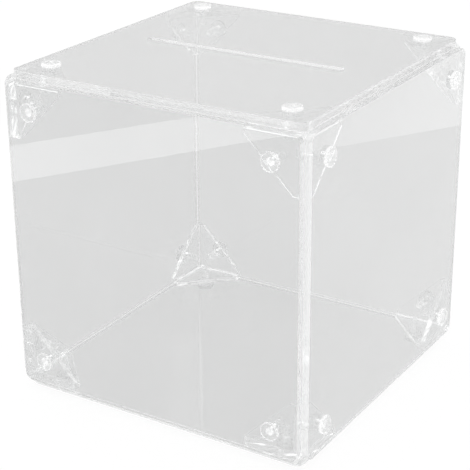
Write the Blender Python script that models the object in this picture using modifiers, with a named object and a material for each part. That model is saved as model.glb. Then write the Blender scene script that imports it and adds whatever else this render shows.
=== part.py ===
"""Acrylic money box: six clear panels, screwed to eight moulded corner brackets inside.

Metres, +Z up. The origin is on the table under the middle of the box. Front is -Y, right is +X.
"""

import math
from itertools import product

import bmesh
import bpy
from mathutils import Matrix, Vector

# Panels: six alike, sawn from clear sheet. Each ends where its neighbour's inner face begins.
PANEL_SIDE = 0.254
PANEL_THICKNESS = 0.006
PANEL_CORNER_RADIUS = 0.007
POLISHED_EDGE = 0.0005

# Slot for coins and notes, in the middle of the top panel
SLOT_LENGTH = 0.178
SLOT_WIDTH = 0.006

# Corner brackets: three flanges at right angles, one behind each panel
BRACKET_LEG = 0.047
BRACKET_TIP = 0.0075  # what is left of each leg where the slanted edge stops
FLANGE_THICKNESS = 0.004
FLANGE_FILLET = 0.0025  # along the three inside corners
FLANGE_EDGE = 0.0005
SCREW_TO_EDGE = 0.0074  # from a screw's axis to the slanted edge

# Thumbscrews: a thin round head with a ribbed rim, outside the panel
SCREW_DIAMETER = 0.006
SCREW_LENGTH = 0.020
SCREW_CHAMFER = 0.0008
HEAD_DIAMETER = 0.015
HEAD_THICKNESS = 0.003
HEAD_EDGE = 0.0004
RIB_DEPTH = 0.0006
RIB_COUNT = 16

# Fits
CLEARANCE = 0.0003  # between faces that meet, and all round a screw in its hole
CUT_OVERRUN = 0.002  # how far a cutter stands out of what it cuts
WELD_DISTANCE = 0.00001

# How finely the round forms are drawn
CORNER_STEPS = 5
SLOT_END_STEPS = 8
HOLE_SIDES = 16
SHANK_SIDES = 12
FILLET_STEPS = 3

# Angles that an edge turns by
FLAT_ANGLE = math.radians(1)  # less than this is one flat face
SMOOTH_ANGLE = math.radians(35)  # less than this is shaded smooth
CORNER_ANGLE = math.radians(36)  # more than this is an edge of a moulding
SQUARE_ANGLE = math.radians(60)  # more than this is an edge of a plate's two faces

# Worked out from the sizes above, from the middle of the box
INSIDE_HALF = PANEL_SIDE / 2 + CLEARANCE
HEAD_SEAT = INSIDE_HALF + PANEL_THICKNESS + CLEARANCE
BRACKET_CORNER = INSIDE_HALF - CLEARANCE
SCREW_INSET = (BRACKET_LEG + BRACKET_TIP - math.sqrt(2) * SCREW_TO_EDGE) / 2  # from a bracket's corner
SCREW_REACH = BRACKET_CORNER - SCREW_INSET
CENTRE_HEIGHT = HEAD_SEAT + HEAD_THICKNESS
HOLE_DIAMETER = SCREW_DIAMETER + 2 * CLEARANCE

# The sides' names, by axis and by the end of the axis that they lie on
SIDE_NAMES = (("left", "right"), ("front", "back"), ("bottom", "top"))
ENDS = (-1, 1)


def clear_scene():
    for old in list(bpy.data.objects):
        bpy.data.objects.remove(old)


def new_collection(name):
    collection = bpy.data.collections.new(name)
    bpy.context.scene.collection.children.link(collection)
    return collection


def new_object(name, data, collection, pose=None, parent=None):
    """An object in this collection, at this pose in its parent's frame."""
    made = bpy.data.objects.new(name, data)
    made.parent = parent
    if pose is not None:
        made.matrix_basis = pose
    collection.objects.link(made)
    return made


def new_cutter(name, mesh, collection, parent):
    cutter = new_object(name, mesh, collection, parent=parent)
    cutter.hide_render = True
    cutter.display_type = "WIRE"
    return cutter


def clear_plastic(name, colour, roughness, refraction):
    """A clear material: light goes through it, tinted by its colour."""
    material = bpy.data.materials.new(name)
    material.use_nodes = True
    shader = material.node_tree.nodes["Principled BSDF"]
    shader.inputs["Base Color"].default_value = (*colour, 1)
    shader.inputs["Roughness"].default_value = roughness
    shader.inputs["Metallic"].default_value = 0
    shader.inputs["IOR"].default_value = refraction
    shader.inputs["Transmission Weight"].default_value = 1
    return material


def finish_mesh(mesh, material):
    mesh.materials.clear()
    mesh.materials.append(material)
    mesh.shade_smooth()
    mesh.set_sharp_from_angle(angle=SMOOTH_ANGLE)


def blank_shape(name, data, pose=None):
    """An object that is only worked on: final_mesh takes its shape and removes it."""
    return new_object(name, data, bpy.context.scene.collection, pose)


def final_mesh(shape, *helpers):
    """The mesh that an object shows with its modifiers. It and its helpers are removed."""
    shown = shape.evaluated_get(bpy.context.evaluated_depsgraph_get())
    mesh = bpy.data.meshes.new_from_object(shown)
    mesh.name = shape.name
    welded = bmesh.new()
    welded.from_mesh(mesh)
    bmesh.ops.remove_doubles(welded, verts=welded.verts, dist=WELD_DISTANCE)
    welded.to_mesh(mesh)
    welded.free()
    for used in (shape, *helpers):
        bpy.data.objects.remove(used)
    return mesh


def add_boolean(shape, operation, other):
    modifier = shape.modifiers.new(operation.lower(), "BOOLEAN")
    modifier.operation = operation
    modifier.object = other


def on_circle(radius, angle):
    return (radius * math.cos(angle), radius * math.sin(angle))


def arc(centre, radius, start, sweep, steps):
    """Points along an arc, both ends among them, in the plane of an outline."""
    points = [on_circle(radius, start + sweep * step / steps) for step in range(steps + 1)]
    return [(centre[0] + x, centre[1] + y) for x, y in points]


def flat_plate(name, outline, thickness):
    """A plate of this outline, half its thickness below z = 0 and half above."""
    curve = bpy.data.curves.new(name, "CURVE")
    curve.dimensions = "2D"
    curve.fill_mode = "BOTH"
    curve.extrude = thickness / 2
    spline = curve.splines.new("POLY")
    spline.points.add(len(outline) - 1)
    for point, (x, y) in zip(spline.points, outline):
        point.co = (x, y, 0, 1)
    spline.use_cyclic_u = True
    return final_mesh(blank_shape(name, curve))


def with_chamfer(mesh, width):
    """The plate with a narrow chamfer round both faces."""
    shape = blank_shape(mesh.name, mesh)
    modifier = shape.modifiers.new("chamfer", "BEVEL")
    modifier.width = width
    modifier.segments = 1
    modifier.limit_method = "ANGLE"
    modifier.angle_limit = SQUARE_ANGLE
    return final_mesh(shape)


def drill_rods(name, places, depth):
    """One mesh with a drill for a screw hole at each of these places, along the place's Z."""
    made = bmesh.new()
    for place in places:
        bmesh.ops.create_cone(
            made,
            cap_ends=True,
            segments=HOLE_SIDES,
            radius1=HOLE_DIAMETER / 2,
            radius2=HOLE_DIAMETER / 2,
            depth=depth + 2 * CUT_OVERRUN,
            matrix=place,
        )
    mesh = bpy.data.meshes.new(name)
    made.to_mesh(mesh)
    made.free()
    return mesh


def panel_outline():
    """A square with round corners, anticlockwise from the right."""
    reach = PANEL_SIDE / 2 - PANEL_CORNER_RADIUS
    quarter = math.pi / 2
    outline = []
    for turn, (x, y) in enumerate(((1, 1), (-1, 1), (-1, -1), (1, -1))):
        centre = (x * reach, y * reach)
        outline += arc(centre, PANEL_CORNER_RADIUS, turn * quarter, quarter, CORNER_STEPS)
    return outline


def slot_outline():
    """A long narrow slot with half-round ends."""
    reach = (SLOT_LENGTH - SLOT_WIDTH) / 2
    outline = []
    for end, start in ((1, -math.pi / 2), (-1, math.pi / 2)):
        outline += arc((end * reach, 0), SLOT_WIDTH / 2, start, math.pi, SLOT_END_STEPS)
    return outline


def panel_place(axis, end):
    """The pose of a panel, its own +Z pointing out of the box."""
    outward = Vector((0, 0, 0))
    outward[axis] = end
    turn = outward.to_track_quat("Z", "Y").to_matrix().to_4x4()
    return Matrix.Translation(outward * (INSIDE_HALF + PANEL_THICKNESS / 2)) @ turn


def add_panels(parts, cutters, centre, material):
    """Six panels, each drilled for its four screws. The top one has the slot as well."""
    blank = with_chamfer(flat_plate("panel", panel_outline(), PANEL_THICKNESS), POLISHED_EDGE)
    finish_mesh(blank, material)
    corners = product(ENDS, ENDS)
    places = [Matrix.Translation((x * SCREW_REACH, y * SCREW_REACH, 0)) for x, y in corners]
    drills = drill_rods("panel_drills", places, PANEL_THICKNESS)
    panels = {}
    for axis, end in product(range(3), ENDS):
        side = SIDE_NAMES[axis][ENDS.index(end)]
        panel = new_object(f"{side}_panel", blank, parts, panel_place(axis, end), centre)
        add_boolean(panel, "DIFFERENCE", new_cutter(f"{side}_drills", drills, cutters, panel))
        panels[side] = panel
    slot = flat_plate("slot", slot_outline(), PANEL_THICKNESS + 2 * CUT_OVERRUN)
    top = panels["top"]
    add_boolean(top, "DIFFERENCE", new_cutter("slot_cutter", slot, cutters, top))
    return panels


def flange_turns():
    """The turns about a bracket's diagonal that carry one flange to each of its three walls."""
    diagonal = Vector((1, 1, 1))
    return [Matrix.Rotation(step * math.tau / 3, 4, diagonal) for step in range(3)]


def joined_flanges():
    """Three flanges at right angles, in one piece, with their outer corner at the origin."""
    outline = [
        (0, 0),
        (BRACKET_LEG, 0),
        (BRACKET_LEG, BRACKET_TIP),
        (BRACKET_TIP, BRACKET_LEG),
        (0, BRACKET_LEG),
    ]
    plate = flat_plate("flange", outline, FLANGE_THICKNESS)
    plate.transform(Matrix.Translation((0, 0, FLANGE_THICKNESS / 2)))
    first, *others = [blank_shape("bracket", plate, turn) for turn in flange_turns()]
    for other in others:
        add_boolean(first, "UNION", other)
    return final_mesh(first, *others)


def bevel_edges(shape, edges, width, segments):
    bmesh.ops.bevel(
        shape,
        geom=edges,
        offset=width,
        offset_type="OFFSET",
        segments=segments,
        profile=0.5,
        affect="EDGES",
    )


def round_off(mesh):
    """Fillets where two flanges meet inside, and a small chamfer along every outer edge."""
    shape = bmesh.new()
    shape.from_mesh(mesh)
    bmesh.ops.dissolve_limit(shape, angle_limit=FLAT_ANGLE, verts=shape.verts, edges=shape.edges)
    inner = [edge for edge in shape.edges if edge.calc_face_angle_signed() < -FLAT_ANGLE]
    bevel_edges(shape, inner, FLANGE_FILLET, FILLET_STEPS)
    outer = [edge for edge in shape.edges if edge.calc_face_angle_signed() > CORNER_ANGLE]
    bevel_edges(shape, outer, FLANGE_EDGE, 1)
    shape.to_mesh(mesh)
    shape.free()


def bracket_mesh():
    """A moulded corner, reaching from the origin along +X, +Y and +Z."""
    joined = joined_flanges()
    round_off(joined)
    hole = Matrix.Translation((SCREW_INSET, SCREW_INSET, FLANGE_THICKNESS / 2))
    drills = drill_rods("drills", [turn @ hole for turn in flange_turns()], FLANGE_THICKNESS)
    bracket = blank_shape("bracket", joined)
    drill = blank_shape("drills", drills)
    add_boolean(bracket, "DIFFERENCE", drill)
    return final_mesh(bracket, drill)


def bracket_turn(ends):
    """The turn that makes a bracket in this corner of the box reach towards its middle."""
    x, y, z = ends
    tip_over = Matrix.Rotation(math.pi if z > 0 else 0, 4, "X")
    reach = Vector((1, -z, -z))
    spin = math.atan2(-y, -x) - math.atan2(reach.y, reach.x)
    return Matrix.Rotation(spin, 4, "Z") @ tip_over


def corner_names(ends):
    return [SIDE_NAMES[axis][ENDS.index(end)] for axis, end in enumerate(ends)]


def add_brackets(parts, centre, material):
    """A bracket inside each of the eight corners, against all three panels."""
    mesh = bracket_mesh()
    finish_mesh(mesh, material)
    for ends in product(ENDS, repeat=3):
        corner = Vector(ends) * BRACKET_CORNER
        pose = Matrix.Translation(corner) @ bracket_turn(ends)
        name = "_".join(reversed(corner_names(ends)))
        new_object(f"{name}_bracket", mesh, parts, pose, centre)


def head_outline():
    """The head's rim, out to each rib and in to the groove after it."""
    pitch = math.tau / RIB_COUNT
    outline = []
    for rib in range(RIB_COUNT):
        outline.append(on_circle(HEAD_DIAMETER / 2, rib * pitch))
        outline.append(on_circle(HEAD_DIAMETER / 2 - RIB_DEPTH, rib * pitch + pitch / 2))
    return outline


def shank_profile():
    """Radius and height, from inside the head down the shank and round its chamfered end."""
    radius = SCREW_DIAMETER / 2
    return [
        (0, HEAD_THICKNESS / 2),
        (radius, HEAD_THICKNESS / 2),
        (radius, SCREW_CHAMFER - SCREW_LENGTH),
        (radius - SCREW_CHAMFER, -SCREW_LENGTH),
        (0, -SCREW_LENGTH),
    ]


def turned_shape(name, profile, sides):
    """A profile turned about Z."""
    mesh = bpy.data.meshes.new(name)
    lines = [(step, step + 1) for step in range(len(profile) - 1)]
    mesh.from_pydata([(radius, 0, height) for radius, height in profile], lines, [])
    shape = blank_shape(name, mesh)
    modifier = shape.modifiers.new("turn", "SCREW")
    modifier.angle = math.tau
    modifier.steps = sides
    modifier.render_steps = sides
    modifier.use_merge_vertices = True
    modifier.merge_threshold = WELD_DISTANCE
    return shape


def thumbscrew_mesh():
    """A thumbscrew, head up, with the middle of the head's underside at the origin."""
    plate = with_chamfer(flat_plate("thumbscrew", head_outline(), HEAD_THICKNESS), HEAD_EDGE)
    plate.transform(Matrix.Translation((0, 0, HEAD_THICKNESS / 2)))
    head = blank_shape("thumbscrew", plate)
    shank = turned_shape("shank", shank_profile(), SHANK_SIDES)
    add_boolean(head, "UNION", shank)
    return final_mesh(head, shank)


def add_thumbscrews(parts, panels, material):
    """Three thumbscrews at each corner of the box, one through each panel that it rides on."""
    mesh = thumbscrew_mesh()
    finish_mesh(mesh, material)
    seat = HEAD_SEAT - INSIDE_HALF - PANEL_THICKNESS / 2
    for ends, axis in product(product(ENDS, repeat=3), range(3)):
        names = corner_names(ends)
        side = names.pop(axis)
        panel = panels[side]
        hole = Vector(ends) * SCREW_REACH
        hole[axis] = 0
        in_panel = panel.matrix_basis.to_3x3().inverted() @ hole
        in_panel.z = seat
        name = f"{side}_screw_{names[1]}_{names[0]}"
        new_object(name, mesh, parts, Matrix.Translation(in_panel), panel)


def main():
    clear_scene()
    parts = new_collection("acrylic_money_box")
    cutters = new_collection("cutters")
    sheet = clear_plastic("clear_acrylic_sheet", (0.94, 0.955, 0.96), 0.02, 1.49)
    moulded = clear_plastic("clear_moulded_bracket", (0.93, 0.94, 0.95), 0.08, 1.58)
    threaded = clear_plastic("clear_moulded_thumbscrew", (0.92, 0.93, 0.94), 0.12, 1.58)
    centre = new_object("box_centre", None, parts, Matrix.Translation((0, 0, CENTRE_HEIGHT)))
    panels = add_panels(parts, cutters, centre, sheet)
    add_brackets(parts, centre, moulded)
    add_thumbscrews(parts, panels, threaded)


main()
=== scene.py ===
import math
from itertools import product

import bmesh
import bpy
from mathutils import Matrix, Vector


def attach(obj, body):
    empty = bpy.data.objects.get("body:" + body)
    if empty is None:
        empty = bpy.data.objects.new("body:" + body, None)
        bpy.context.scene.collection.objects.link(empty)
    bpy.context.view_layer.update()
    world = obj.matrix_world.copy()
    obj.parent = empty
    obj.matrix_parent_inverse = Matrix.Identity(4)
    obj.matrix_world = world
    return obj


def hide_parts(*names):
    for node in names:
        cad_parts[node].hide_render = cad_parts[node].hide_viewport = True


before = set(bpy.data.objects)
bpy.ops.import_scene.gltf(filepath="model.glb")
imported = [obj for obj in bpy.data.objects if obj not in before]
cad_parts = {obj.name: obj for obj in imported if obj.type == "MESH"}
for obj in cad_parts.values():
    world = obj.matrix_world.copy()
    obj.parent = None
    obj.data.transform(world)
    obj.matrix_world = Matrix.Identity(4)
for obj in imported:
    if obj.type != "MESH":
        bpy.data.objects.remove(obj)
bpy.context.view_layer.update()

# Clear money box: six sheets, eight moulded corners inside, twenty-four thumbscrews from outside.
# Metres, +Z up, the table at z = 0. The front is -Y and the right is +X.
scene = bpy.context.scene
sideNames = (("left", "right"), ("front", "back"), ("bottom", "top"))
middle = Vector((0, 0, 0.1366))
insideHalf = 0.1273  # from the middle to a sheet's inner face
screwReach = 0.10498  # from the middle to a screw's axis, both ways
holeDiameter = 0.0066

# How meshes are joined, softened and shaded
weldDistance = 0.000004
flatAngle = math.radians(1)  # less than this is one flat face
edgeAngle = math.radians(36)  # more than this is an edge of a moulding
smoothAngle = math.radians(40)  # less than this is shaded smooth
squareOn = 0.999  # a face whose direction has this much of Z, or more, lies flat


# Small helpers for meshes and places

def newPiece(name, mesh, matrix=None):
    piece = bpy.data.objects.new(name, mesh)
    scene.collection.objects.link(piece)
    if matrix is not None:
        piece.matrix_world = matrix
    return piece


def bakedMesh(piece, *helpers):
    # the mesh as its modifiers show it; the piece and its helpers go
    shown = piece.evaluated_get(bpy.context.evaluated_depsgraph_get())
    mesh = bpy.data.meshes.new_from_object(shown)
    mesh.name = piece.name
    work = bmesh.new()
    work.from_mesh(mesh)
    bmesh.ops.remove_doubles(work, verts=work.verts, dist=weldDistance)
    bmesh.ops.recalc_face_normals(work, faces=work.faces)
    work.to_mesh(mesh)
    work.free()
    for used in (piece, *helpers):
        bpy.data.objects.remove(used)
    return mesh


def arcPoints(centre, radius, start, sweep, steps):
    turns = [start + sweep * step / steps for step in range(steps + 1)]
    return [(centre[0] + radius * math.cos(turn), centre[1] + radius * math.sin(turn)) for turn in turns]


def circlePoints(centre, radius, sides):
    return arcPoints(centre, radius, 0, math.tau, sides)[:-1]


def plateMesh(name, outlines, thickness, edgeRound=0.0, edgeSteps=0):
    # a flat plate, the first outline its rim and the others its holes, with soft edges
    curve = bpy.data.curves.new(name, "CURVE")
    curve.dimensions = "2D"
    curve.fill_mode = "BOTH"
    curve.extrude = thickness / 2 - edgeRound
    curve.bevel_depth = edgeRound
    curve.bevel_resolution = edgeSteps
    curve.offset = -edgeRound
    for outline in outlines:
        spline = curve.splines.new("POLY")
        spline.points.add(len(outline) - 1)
        for point, (x, y) in zip(spline.points, outline):
            point.co = (x, y, 0, 1)
        spline.use_cyclic_u = True
    return bakedMesh(newPiece(name, curve))


def addBoolean(piece, operation, other):
    modifier = piece.modifiers.new(operation.lower(), "BOOLEAN")
    modifier.operation = operation
    modifier.object = other
    modifier.solver = "EXACT"


def softShaded(mesh):
    # round forms are smooth, while flat faces stay truly flat
    mesh.shade_smooth()
    mesh.set_sharp_from_angle(angle=smoothAngle)
    piece = newPiece(mesh.name, mesh)
    modifier = piece.modifiers.new("flatFaces", "WEIGHTED_NORMAL")
    modifier.mode = "FACE_AREA"
    modifier.weight = 100  # each corner takes its largest face's direction
    modifier.keep_sharp = True
    shown = piece.evaluated_get(bpy.context.evaluated_depsgraph_get())
    shaded = bpy.data.meshes.new_from_object(shown)
    shaded.name = mesh.name
    bpy.data.objects.remove(piece)
    return shaded


def sideName(axis, end):
    return sideNames[axis][(end + 1) // 2]


def facing(outward):
    # the turn that brings a piece's own +Z round to an outward direction
    return outward.to_track_quat("Z", "Y").to_matrix().to_4x4()


# Materials: clear plastics, each one shader with its tint, gloss and surface from noise

noiseSpread = (0.35, 0.65)  # the part of a noise's values that spans the range asked for
noiseDetail = {"drift": 2, "haze": 4, "wave": 1, "grain": 3}


def noiseRange(nodes, links, coords, scale, detail, low, high, stretch=(1, 1, 1)):
    mapping = nodes.new("ShaderNodeMapping")
    mapping.inputs["Scale"].default_value = stretch
    noise = nodes.new("ShaderNodeTexNoise")
    noise.inputs["Scale"].default_value = scale
    noise.inputs["Detail"].default_value = detail
    spread = nodes.new("ShaderNodeMapRange")
    spread.inputs["From Min"].default_value, spread.inputs["From Max"].default_value = noiseSpread
    spread.inputs["To Min"].default_value = low
    spread.inputs["To Max"].default_value = high
    links.new(coords, mapping.inputs["Vector"])
    links.new(mapping.outputs["Vector"], noise.inputs["Vector"])
    links.new(noise.outputs["Fac"], spread.inputs["Value"])
    return spread.outputs["Result"]


def clearPlastic(name, look):
    material = bpy.data.materials.new(name)
    material.use_nodes = True
    nodes, links = material.node_tree.nodes, material.node_tree.links
    shader = nodes["Principled BSDF"]
    shader.inputs["IOR"].default_value = look["refraction"]
    shader.inputs["Transmission Weight"].default_value = look["clearness"]
    coords = nodes.new("ShaderNodeTexCoord").outputs["Object"]

    # tint: a very slight drift from one part of the moulding or sheet to another
    tint = nodes.new("ShaderNodeMix")
    tint.data_type = "RGBA"
    tint.inputs["A"].default_value = (*look["tintDeep"], 1)
    tint.inputs["B"].default_value = (*look["tintPale"], 1)
    drift = noiseRange(nodes, links, coords, look["driftScale"], noiseDetail["drift"], 0, 1)
    links.new(drift, tint.inputs["Factor"])
    links.new(tint.outputs["Result"], shader.inputs["Base Color"])

    # gloss: a sheet's is flawless all over, a moulding's varies with handling and mould
    shader.inputs["Roughness"].default_value = look["glossBest"]
    if look["glossWorst"] > look["glossBest"]:
        gloss = (look["glossBest"], look["glossWorst"])
        haze = noiseRange(nodes, links, coords, look["hazeScale"], noiseDetail["haze"], *gloss)
        links.new(haze, shader.inputs["Roughness"])

    # surface: the slow waviness of the sheet or the flow of the moulding, and fine grain
    waveRange = (0, look["waveHeight"], look["waveStretch"])
    wave = noiseRange(nodes, links, coords, look["waveScale"], noiseDetail["wave"], *waveRange)
    grainRange = (0, look["grainHeight"])
    grain = noiseRange(nodes, links, coords, look["grainScale"], noiseDetail["grain"], *grainRange)
    height = nodes.new("ShaderNodeMath")
    height.operation = "ADD"
    links.new(wave, height.inputs[0])
    links.new(grain, height.inputs[1])
    bump = nodes.new("ShaderNodeBump")
    bump.inputs["Distance"].default_value = 1  # the heights are already in metres
    bump.inputs["Strength"].default_value = 1
    links.new(height.outputs["Value"], bump.inputs["Height"])
    links.new(bump.outputs["Normal"], shader.inputs["Normal"])
    return material


sheetLook = {
    "refraction": 1.49,
    "clearness": 1.0,
    "tintDeep": (0.822, 0.824, 0.824),
    "tintPale": (0.834, 0.836, 0.836),
    "driftScale": 9,
    "glossBest": 0.0,
    "glossWorst": 0.0,
    "waveScale": 7,
    "waveHeight": 0.00001,
    "waveStretch": (1, 1, 1),
    "grainScale": 900,
    "grainHeight": 0.0000002,
}
edgeLook = {
    "refraction": 1.49,
    "clearness": 1.0,
    "tintDeep": (0.9, 0.903, 0.903),
    "tintPale": (0.92, 0.923, 0.923),
    "driftScale": 30,
    "hazeScale": 60,
    "glossBest": 0.14,
    "glossWorst": 0.18,
    "waveScale": 40,
    "waveHeight": 0.000002,
    "waveStretch": (1, 1, 1),
    "grainScale": 900,
    "grainHeight": 0.0000002,
}
boreLook = {
    "refraction": 1.49,
    "clearness": 1.0,
    "tintDeep": (0.97, 0.973, 0.973),
    "tintPale": (0.99, 0.993, 0.993),
    "driftScale": 90,
    "hazeScale": 200,
    "glossBest": 0.0,
    "glossWorst": 0.02,
    "waveScale": 200,
    "waveHeight": 0.00001,
    "waveStretch": (1, 1, 1),
    "grainScale": 900,
    "grainHeight": 0.0000002,
}
cornerLook = {
    "refraction": 1.57,
    "clearness": 1.0,
    "tintDeep": (0.995, 0.998, 0.998),
    "tintPale": (1.0, 1.0, 1.0),
    "driftScale": 60,
    "hazeScale": 160,
    "glossBest": 0.0,
    "glossWorst": 0.02,
    "waveScale": 70,
    "waveHeight": 0.00009,
    "waveStretch": (1, 1, 0.4),
    "grainScale": 1500,
    "grainHeight": 0.000001,
}
headLook = {
    "refraction": 1.57,
    "clearness": 1.0,
    "tintDeep": (0.985, 0.988, 0.988),
    "tintPale": (1.0, 1.0, 1.0),
    "driftScale": 250,
    "hazeScale": 400,
    "glossBest": 0.06,
    "glossWorst": 0.14,
    "waveScale": 160,
    "waveHeight": 0.00008,
    "waveStretch": (1, 1, 1),
    "grainScale": 2200,
    "grainHeight": 0.000002,
}
shankLook = {**headLook, "glossBest": 0.0, "glossWorst": 0.02}  # the same moulding, but glossy
sheetPlastic = clearPlastic("clearCastSheet", sheetLook)
edgePlastic = clearPlastic("polishedSheetEdge", edgeLook)
borePlastic = clearPlastic("drilledSheetHole", boreLook)
cornerPlastic = clearPlastic("clearMouldedCorner", cornerLook)
headPlastic = clearPlastic("satinScrewHead", headLook)
shankPlastic = clearPlastic("clearScrewShank", shankLook)
print("materials ready")


# The six sheets

sheetSizes = {
    "side": 0.254,
    "thickness": 0.006,
    "cornerRadius": 0.007,
    "cornerSteps": 14,
    "edgeRound": 0.00025,  # sawn, then lightly polished
    "edgeSteps": 2,
    "holeSides": 36,
    "slotLength": 0.178,
    "slotWidth": 0.006,
    "slotEndSteps": 14,
}


def sheetOutline():
    radius = sheetSizes["cornerRadius"]
    reach = sheetSizes["side"] / 2 - radius
    outline = []
    for turn, (x, y) in enumerate(((1, 1), (-1, 1), (-1, -1), (1, -1))):
        centre = (x * reach, y * reach)
        outline += arcPoints(centre, radius, turn * math.pi / 2, math.pi / 2, sheetSizes["cornerSteps"])
    return outline


def slotOutline():
    reach = (sheetSizes["slotLength"] - sheetSizes["slotWidth"]) / 2
    outline = []
    for end, start in ((1, -math.pi / 2), (-1, math.pi / 2)):
        centre = (end * reach, 0)
        radius = sheetSizes["slotWidth"] / 2
        outline += arcPoints(centre, radius, start, math.pi, sheetSizes["slotEndSteps"])
    return outline


def sheetMesh(name, slotted):
    outlines = [sheetOutline()]
    for x, y in product((-1, 1), repeat=2):
        centre = (x * screwReach, y * screwReach)
        outlines.append(circlePoints(centre, holeDiameter / 2, sheetSizes["holeSides"]))
    if slotted:
        outlines.append(slotOutline())
    thickness, edgeRound = sheetSizes["thickness"], sheetSizes["edgeRound"]
    mesh = plateMesh(name, outlines, thickness, edgeRound, sheetSizes["edgeSteps"])
    plastics = [sheetPlastic, edgePlastic, borePlastic]
    for plastic in plastics:
        mesh.materials.append(plastic)
    for face in mesh.polygons:
        if abs(face.normal.z) < squareOn:
            fromHole = math.dist((abs(face.center.x), abs(face.center.y)), (screwReach, screwReach))
            plastic = borePlastic if fromHole < holeDiameter else edgePlastic
            face.material_index = plastics.index(plastic)
    return softShaded(mesh)


def sheetMatrix(axis, end):
    # a sheet lies flat at first, its own +Z then turned to point out of the box
    outward = Vector((0, 0, 0))
    outward[axis] = end
    if axis == 2:
        turn = Matrix.Rotation(0 if end > 0 else math.pi, 4, "X")
    else:
        turn = facing(outward)
    centre = middle + outward * (insideHalf + sheetSizes["thickness"] / 2)
    return Matrix.Translation(centre) @ turn


plainSheet = sheetMesh("plainSheet", slotted=False)
lidSheet = sheetMesh("lidSheet", slotted=True)
for axis, end in product(range(3), (-1, 1)):
    side = sideName(axis, end)
    isLid = side == "top"
    piece = newPiece(f"{side}Sheet", lidSheet if isLid else plainSheet, sheetMatrix(axis, end))
    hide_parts(f"{side}_panel")
    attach(piece, "lid" if isLid else "box")
print("six sheets in place")


# The eight moulded corners: three flanges at right angles

cornerSizes = {
    "leg": 0.047,
    "tip": 0.0075,
    "flange": 0.004,
    "fillet": 0.0025,
    "filletSteps": 8,
    "edgeRound": 0.0005,
    "edgeSteps": 3,
    "holeSides": 36,
    "holeInset": 0.0220175,  # from the moulding's own corner, along both legs
    "drillShare": 3,  # a drill's length, in flange thicknesses
    "reach": 0.127,  # from the box's middle to the moulding's own corner
}


def flangeTurns():
    return [Matrix.Rotation(step * math.tau / 3, 4, Vector((1, 1, 1))) for step in range(3)]


def roundEdges(work, edges, width, steps):
    bmesh.ops.bevel(
        work,
        geom=edges,
        offset=width,
        offset_type="OFFSET",
        segments=steps,
        profile=0.5,
        affect="EDGES",
        clamp_overlap=True,
    )


def cornerMesh():
    leg, tip, flange = cornerSizes["leg"], cornerSizes["tip"], cornerSizes["flange"]
    outline = [(0, 0), (leg, 0), (leg, tip), (tip, leg), (0, leg)]
    plate = plateMesh("flange", [outline], flange)
    plate.transform(Matrix.Translation((0, 0, flange / 2)))
    first, *others = [newPiece("corner", plate, turn) for turn in flangeTurns()]
    for other in others:
        addBoolean(first, "UNION", other)
    mesh = bakedMesh(first, *others)

    # fillets inside first, then every outer edge is softened
    work = bmesh.new()
    work.from_mesh(mesh)
    bmesh.ops.dissolve_limit(work, angle_limit=flatAngle, verts=work.verts, edges=work.edges)
    inner = [edge for edge in work.edges if edge.calc_face_angle_signed() < -flatAngle]
    roundEdges(work, inner, cornerSizes["fillet"], cornerSizes["filletSteps"])
    outer = [edge for edge in work.edges if edge.calc_face_angle_signed() > edgeAngle]
    roundEdges(work, outer, cornerSizes["edgeRound"], cornerSizes["edgeSteps"])
    work.to_mesh(mesh)
    work.free()

    # one clear hole through each flange
    body = newPiece("corner", mesh)
    drills = []
    inset, drillLength = cornerSizes["holeInset"], cornerSizes["drillShare"] * flange
    circle = circlePoints((0, 0), holeDiameter / 2, cornerSizes["holeSides"])
    for turn in flangeTurns():
        rod = plateMesh("drill", [circle], drillLength)
        drill = newPiece("drill", rod, turn @ Matrix.Translation((inset, inset, flange / 2)))
        addBoolean(body, "DIFFERENCE", drill)
        drills.append(drill)
    mesh = bakedMesh(body, *drills)
    mesh.materials.append(cornerPlastic)
    return softShaded(mesh)


def cornerTurn(x, y, z):
    # turned, never mirrored, so that its three legs reach towards the box's middle
    tipOver = Matrix.Rotation(math.pi if z > 0 else 0, 4, "X")
    reach = Vector((1, -z, -z))
    spin = math.atan2(-y, -x) - math.atan2(reach.y, reach.x)
    return Matrix.Rotation(spin, 4, "Z") @ tipOver


mouldedCorner = cornerMesh()
for ends in product((-1, 1), repeat=3):
    leftRight, frontBack, bottomTop = [sideName(axis, end) for axis, end in enumerate(ends)]
    place = Matrix.Translation(middle + Vector(ends) * cornerSizes["reach"]) @ cornerTurn(*ends)
    piece = newPiece(f"{bottomTop}{frontBack.title()}{leftRight.title()}Corner", mouldedCorner, place)
    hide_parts(f"{bottomTop}_{frontBack}_{leftRight}_bracket")
    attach(piece, "box")
print("eight corners in place")


# The twenty-four thumbscrews: a thin ribbed head and a threaded shank in one moulding

screwSizes = {
    "headDiameter": 0.015,
    "headThickness": 0.003,
    "headRound": 0.00045,
    "headSteps": 3,
    "ribs": 16,
    "ribDepth": 0.0006,
    "ribPower": 1.4,  # over 1 makes the ribs broader than the grooves
    "pointsPerRib": 10,
    "shankDiameter": 0.006,
    "shankLength": 0.020,
    "threadPitch": 0.001,
    "threadDepth": 0.00045,
    "turnSteps": 28,
    "rowsPerTurn": 8,
    "leadIn": 0.0008,
    "seat": 0.1336,  # from the box's middle to the head's underside
    "spinStep": 7,  # degrees that each screw is turned past the one before
    "spinRange": 22,  # degrees, just under one rib
}


def headOutline():
    count = screwSizes["ribs"] * screwSizes["pointsPerRib"]
    outline = []
    for step in range(count):
        turn = math.tau * step / count
        groove = (0.5 - 0.5 * math.cos(turn * screwSizes["ribs"])) ** screwSizes["ribPower"]
        radius = screwSizes["headDiameter"] / 2 - screwSizes["ribDepth"] * groove
        outline.append((radius * math.cos(turn), radius * math.sin(turn)))
    return outline


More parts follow.
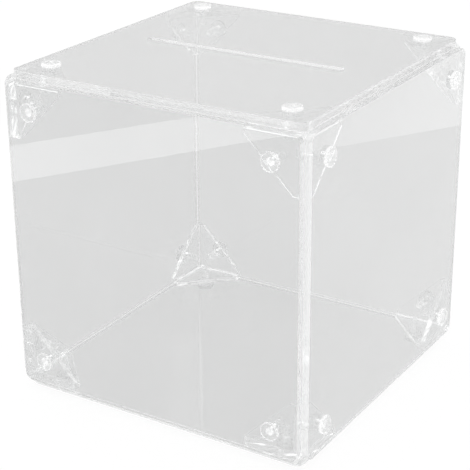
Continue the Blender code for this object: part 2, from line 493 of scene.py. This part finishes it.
def threadRadius(turn, height):
    # a rounded thread that runs out at the lead-in
    groove = 0.5 - 0.5 * math.cos(math.tau * height / screwSizes["threadPitch"] - turn)
    radius = screwSizes["shankDiameter"] / 2 - screwSizes["threadDepth"] * groove
    tip = height + screwSizes["shankLength"]
    largest = screwSizes["shankDiameter"] / 2 - screwSizes["leadIn"] + tip
    return min(radius, largest)


def shankMesh():
    steps = screwSizes["turnSteps"]
    top, bottom = screwSizes["headThickness"] / 2, -screwSizes["shankLength"]
    rows = round((top - bottom) / screwSizes["threadPitch"] * screwSizes["rowsPerTurn"])
    work = bmesh.new()
    rings = []
    for row in range(rows + 1):
        height = bottom + (top - bottom) * row / rows
        ring = []
        for step in range(steps):
            turn = math.tau * step / steps
            radius = threadRadius(turn, height)
            ring.append(work.verts.new((radius * math.cos(turn), radius * math.sin(turn), height)))
        rings.append(ring)
    for lower, upper in zip(rings, rings[1:]):
        for step in range(steps):
            after = (step + 1) % steps
            work.faces.new((lower[step], lower[after], upper[after], upper[step]))
    work.faces.new(list(reversed(rings[0])))
    work.faces.new(rings[-1])
    mesh = bpy.data.meshes.new("shank")
    work.to_mesh(mesh)
    work.free()
    return mesh


def thumbscrewMesh():
    thickness, edgeRound = screwSizes["headThickness"], screwSizes["headRound"]
    plate = plateMesh("thumbscrew", [headOutline()], thickness, edgeRound, screwSizes["headSteps"])
    plate.transform(Matrix.Translation((0, 0, thickness / 2)))
    head = newPiece("thumbscrew", plate)
    shank = newPiece("shank", shankMesh())
    addBoolean(head, "UNION", shank)
    mesh = bakedMesh(head, shank)
    # the flat top of the head is satin, and the rest is glossy
    plastics = [headPlastic, shankPlastic]
    for plastic in plastics:
        mesh.materials.append(plastic)
    for face in mesh.polygons:
        onTop = face.normal.z > squareOn and face.center.z > thickness / 2
        face.material_index = plastics.index(headPlastic if onTop else shankPlastic)
    return softShaded(mesh)


thumbscrew = thumbscrewMesh()
screwNumber = 0
for ends in product((-1, 1), repeat=3):
    names = [sideName(axis, end) for axis, end in enumerate(ends)]
    for axis in range(3):
        side = names[axis]
        across = [name for other, name in enumerate(names) if other != axis]
        outward = Vector((0, 0, 0))
        outward[axis] = ends[axis]
        place = Vector(ends) * screwReach
        place[axis] = ends[axis] * screwSizes["seat"]
        # a little further round each time, so that neighbours' ribs don't line up
        turned = screwSizes["spinStep"] * screwNumber % screwSizes["spinRange"]
        spin = Matrix.Rotation(math.radians(turned), 4, "Z")
        node = f"{side}_screw_{across[1]}_{across[0]}"
        name = f"{side}Screw{across[1].title()}{across[0].title()}"
        piece = newPiece(name, thumbscrew, Matrix.Translation(middle + place) @ facing(outward) @ spin)
        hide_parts(node)
        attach(piece, "box" if side == "bottom" else node)
        screwNumber += 1
print("twenty-four thumbscrews in place")


# Studio: a white table, a white room, and large soft lamps

studio = {
    "tableHalf": 5.0,
    "tableSquares": 4,
    "tableColour": (0.80, 0.80, 0.80),  # as it lights the box
    "tableShown": (0.06, 0.06, 0.06),  # as it is seen, a little colour that takes the shadow
    "tableGlow": 0.955,  # as it is seen, the plain white added to that
    "roomLow": 0.86,  # the walls, a little darker than the ceiling
    "roomHigh": 1.0,
    "roomChange": (0.2, 0.47),  # from wall to ceiling, as the sine of the height angle
    "roomLight": 0.75,  # what the room gives as light, where it isn't seen
    "ringDistance": 1.3,
    "ringHeight": 1.45,
    "ringSize": (1.0, 0.8),
    "ringBrightness": 1.0,
    "ringTurns": (0, 90, 180, 270),
    "boardAzimuth": -58,  # in line with the camera
    "boardHeight": 0.002,
}
lamps = {
    "overheadSoftbox": {
        "place": (0, 0, 1.7),
        "aim": (0, 0, 0),
        "size": (2.4, 2.4),
        "brightness": 0.7,
    },
    "backSoftbox": {
        "place": (0.506, 1.203, 0.868),
        "aim": (0, 0, 0.13),
        "size": (0.26, 0.26),
        "brightness": 1.0,
    },
    "leftStrip": {
        "place": (-1.1, -1.0, 1.0),
        "aim": (0, 0, 0.12),
        "size": (0.3, 0.9),
        "brightness": 0.5,
    },
    "rightStrip": {
        "place": (1.4, 0.3, 1.1),
        "aim": (0, 0, 0.12),
        "size": (0.3, 0.9),
        "brightness": 0.5,
    },
}
boards = {
    "leftBoard": {"along": 0.4, "across": -0.70, "size": (1.4, 0.12), "brightness": 2.0},
    "rightBoard": {"along": -0.4, "across": 0.83, "size": (1.0, 0.34), "brightness": 0.5},
}


def seenRays(nodes, links, path):
    # 1 for what the camera sees, straight, mirrored or through clear plastic
    first = nodes.new("ShaderNodeMath")
    first.operation = "MAXIMUM"
    links.new(path.outputs["Is Camera Ray"], first.inputs[0])
    links.new(path.outputs["Is Glossy Ray"], first.inputs[1])
    second = nodes.new("ShaderNodeMath")
    second.operation = "MAXIMUM"
    links.new(first.outputs["Value"], second.inputs[0])
    links.new(path.outputs["Is Transmission Ray"], second.inputs[1])
    return second.outputs["Value"]


def whiteTable():
    work = bmesh.new()
    squares = studio["tableSquares"]
    bmesh.ops.create_grid(work, x_segments=squares, y_segments=squares, size=studio["tableHalf"])
    mesh = bpy.data.meshes.new("table")
    work.to_mesh(mesh)
    work.free()
    table = newPiece("table", mesh)
    material = bpy.data.materials.new("whiteTable")
    material.use_nodes = True
    nodes, links = material.node_tree.nodes, material.node_tree.links
    nodes.clear()
    path = nodes.new("ShaderNodeLightPath")
    plain = nodes.new("ShaderNodeBsdfDiffuse")
    plain.inputs["Color"].default_value = (*studio["tableColour"], 1)
    shown = nodes.new("ShaderNodeBsdfDiffuse")
    shown.inputs["Color"].default_value = (*studio["tableShown"], 1)
    glow = nodes.new("ShaderNodeEmission")
    glow.inputs["Strength"].default_value = studio["tableGlow"]
    both = nodes.new("ShaderNodeAddShader")
    links.new(shown.outputs["BSDF"], both.inputs[0])
    links.new(glow.outputs["Emission"], both.inputs[1])
    seen = seenRays(nodes, links, path)
    mix = nodes.new("ShaderNodeMixShader")
    links.new(seen, mix.inputs["Fac"])
    links.new(plain.outputs["BSDF"], mix.inputs[1])
    links.new(both.outputs["Shader"], mix.inputs[2])
    output = nodes.new("ShaderNodeOutputMaterial")
    links.new(mix.outputs["Shader"], output.inputs["Surface"])
    mesh.materials.append(material)


def whiteRoom():
    world = bpy.data.worlds.new("whiteRoom")
    scene.world = world
    world.use_nodes = True
    nodes, links = world.node_tree.nodes, world.node_tree.links
    direction = nodes.new("ShaderNodeTexCoord").outputs["Generated"]
    split = nodes.new("ShaderNodeSeparateXYZ")
    links.new(direction, split.inputs["Vector"])
    shown = nodes.new("ShaderNodeMapRange")
    shown.interpolation_type = "SMOOTHSTEP"
    shown.inputs["From Min"].default_value, shown.inputs["From Max"].default_value = studio["roomChange"]
    shown.inputs["To Min"].default_value = studio["roomLow"]
    shown.inputs["To Max"].default_value = studio["roomHigh"]
    links.new(split.outputs["Z"], shown.inputs["Value"])
    path = nodes.new("ShaderNodeLightPath")
    strength = nodes.new("ShaderNodeMix")
    strength.inputs["A"].default_value = studio["roomLight"]
    links.new(seenRays(nodes, links, path), strength.inputs["Factor"])
    links.new(shown.outputs["Result"], strength.inputs["B"])
    links.new(strength.outputs["Result"], nodes["Background"].inputs["Strength"])
    nodes["Background"].inputs["Color"].default_value = (1, 1, 1, 1)


def areaLamp(name, place, size, brightness):
    # the energy grows with the size, so that the brightness stays as it is given
    data = bpy.data.lights.new(name, "AREA")
    data.shape = "RECTANGLE"
    data.size, data.size_y = size
    data.energy = brightness * math.pi * size[0] * size[1]
    lamp = bpy.data.objects.new(name, data)
    scene.collection.objects.link(lamp)
    lamp.location = place
    lamp.visible_camera = False
    return lamp


def softLamp(name, place, aim, size, brightness):
    lamp = areaLamp(name, place, size, brightness)
    lamp.rotation_euler = (Vector(place) - Vector(aim)).to_track_quat("Z", "Y").to_euler()
    return lamp


def sideLamps():
    # high softboxes on four sides, for what bends light: ribs, threads, rims and fillets;
    # lower ones would be mirrored in the lid when the box is seen from the side
    for number, degrees in enumerate(studio["ringTurns"]):
        turn = math.radians(degrees)
        reach = studio["ringDistance"]
        place = (reach * math.cos(turn), reach * math.sin(turn), studio["ringHeight"])
        name = f"sideSoftbox{number + 1}"
        lamp = softLamp(name, place, middle, studio["ringSize"], studio["ringBrightness"])
        lamp.visible_diffuse = False


def lightBoard(name, along, across, size, brightness):
    # a light panel lying on the table, only for its reflection in the sheets
    turn = math.radians(studio["boardAzimuth"])
    ahead = Vector((math.cos(turn), math.sin(turn), 0))
    aside = Vector((-math.sin(turn), math.cos(turn), 0))
    place = ahead * along + aside * across + Vector((0, 0, studio["boardHeight"]))
    lamp = areaLamp(name, place, size, brightness)
    lamp.rotation_euler = (math.pi, 0, turn)  # it shines upward
    lamp.visible_diffuse = False
    lamp.visible_transmission = False


whiteTable()
whiteRoom()
for name, settings in lamps.items():
    softLamp(name, **settings)
sideLamps()
for name, settings in boards.items():
    lightBoard(name, **settings)
print("studio ready")


# Camera: solved from the box's own edges in the picture

shot = {
    "azimuth": -58.0081,
    "elevation": 22.9331,
    "roll": -0.4243,
    "distance": 1.15784,
    "sideways": -0.0065317,
    "height": 0.1162584,
    "focalPixels": 1410.9,
    "pictureSide": 470,
    "sensorWidth": 36,
    "seenFrom": 0.05,
    "seenTo": 30,
    "bounces": 256,  # light runs a sheet's whole length inside it before it leaves at the far edge
}


def placeCamera():
    azimuth, elevation = math.radians(shot["azimuth"]), math.radians(shot["elevation"])
    level = math.cos(elevation)
    back = Vector((level * math.cos(azimuth), level * math.sin(azimuth), math.sin(elevation)))
    right = Vector((-math.sin(azimuth), math.cos(azimuth), 0))
    up = back.cross(right)
    target = right * shot["sideways"] + Vector((0, 0, shot["height"]))
    spin = Matrix.Rotation(math.radians(shot["roll"]), 3, back)
    right, up = spin @ right, spin @ up
    data = bpy.data.cameras.new("camera")
    data.sensor_width = shot["sensorWidth"]
    data.lens = data.sensor_width * shot["focalPixels"] / shot["pictureSide"]
    data.clip_start, data.clip_end = shot["seenFrom"], shot["seenTo"]
    camera = bpy.data.objects.new("camera", data)
    scene.collection.objects.link(camera)
    turn = Matrix((right, up, back)).transposed().to_4x4()
    camera.matrix_world = Matrix.Translation(target + back * shot["distance"]) @ turn
    scene.camera = camera


placeCamera()
scene.view_settings.view_transform = "Standard"
scene.cycles.max_bounces = shot["bounces"]
scene.cycles.glossy_bounces = shot["bounces"]
scene.cycles.transmission_bounces = shot["bounces"]
print("camera ready")
